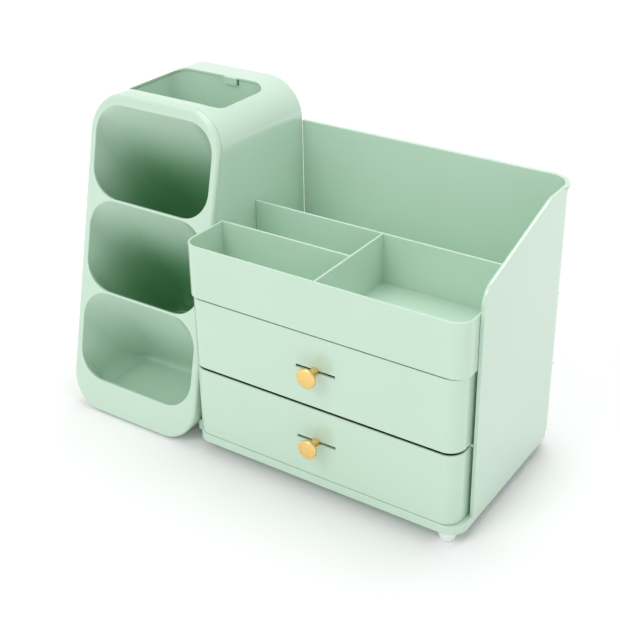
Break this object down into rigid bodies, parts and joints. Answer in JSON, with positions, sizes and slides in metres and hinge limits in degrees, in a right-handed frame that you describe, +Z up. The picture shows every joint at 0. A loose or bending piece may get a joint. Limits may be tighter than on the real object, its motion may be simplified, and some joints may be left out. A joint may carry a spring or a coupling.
{
  "type": "brush holder with drawers",
  "caption": "Desk-top vanity organiser: leaning brush holder with oblique pockets beside a cabinet with an open tray, a tall back and sliding drawers.",
  "frame": {"origin": "bottom centre of the bounding box, on the table", "axes": "+X along the front, from the brush holder to the right panel; +Y to the back wall; +Z up"},
  "size_m": [0.3514, 0.1698, 0.2485],
  "materials": {
    "mint_plastic": "pale mint green moulded plastic, satin gloss",
    "white_foot": "milky white soft plastic",
    "brushed_brass": "turned, satin brass",
    "steel": "bright zinc plated",
    "pad_rubber": "thin grey-white rubber"
  },
  "bodies": {
    "cabinet": {"base_plate": "mint_plastic", "foot_front_left": "white_foot", "foot_front_right": "white_foot", "foot_rear_left": "white_foot", "foot_rear_right": "white_foot", "cabinet_shell": "mint_plastic", "middle_deck": "mint_plastic", "top_tray": "mint_plastic", "brush_shell": "mint_plastic", "brush_front_panel": "mint_plastic", "brush_top_cup": "mint_plastic", "brush_pad_front_left": "pad_rubber", "brush_pad_front_right": "pad_rubber", "brush_pad_rear_left": "pad_rubber", "brush_pad_rear_right": "pad_rubber", "side_screws": "steel", "base_screws": "steel", "tray_screws": "steel"},
    "upper_drawer": {"drawer_upper": "mint_plastic", "knob_upper": "brushed_brass", "knob_washer_upper": "steel", "knob_screw_upper": "steel"},
    "lower_drawer": {"drawer_lower": "mint_plastic", "knob_lower": "brushed_brass", "knob_washer_lower": "steel", "knob_screw_lower": "steel"}
  },
  "joints": [
    {"name": "upper_drawer_slide", "type": "slide", "parent": "cabinet", "child": "upper_drawer", "axis": [0, -1, 0], "range_m": [0, 0.11]},
    {"name": "lower_drawer_slide", "type": "slide", "parent": "cabinet", "child": "lower_drawer", "axis": [0, -1, 0], "range_m": [0, 0.11]}
  ]
}
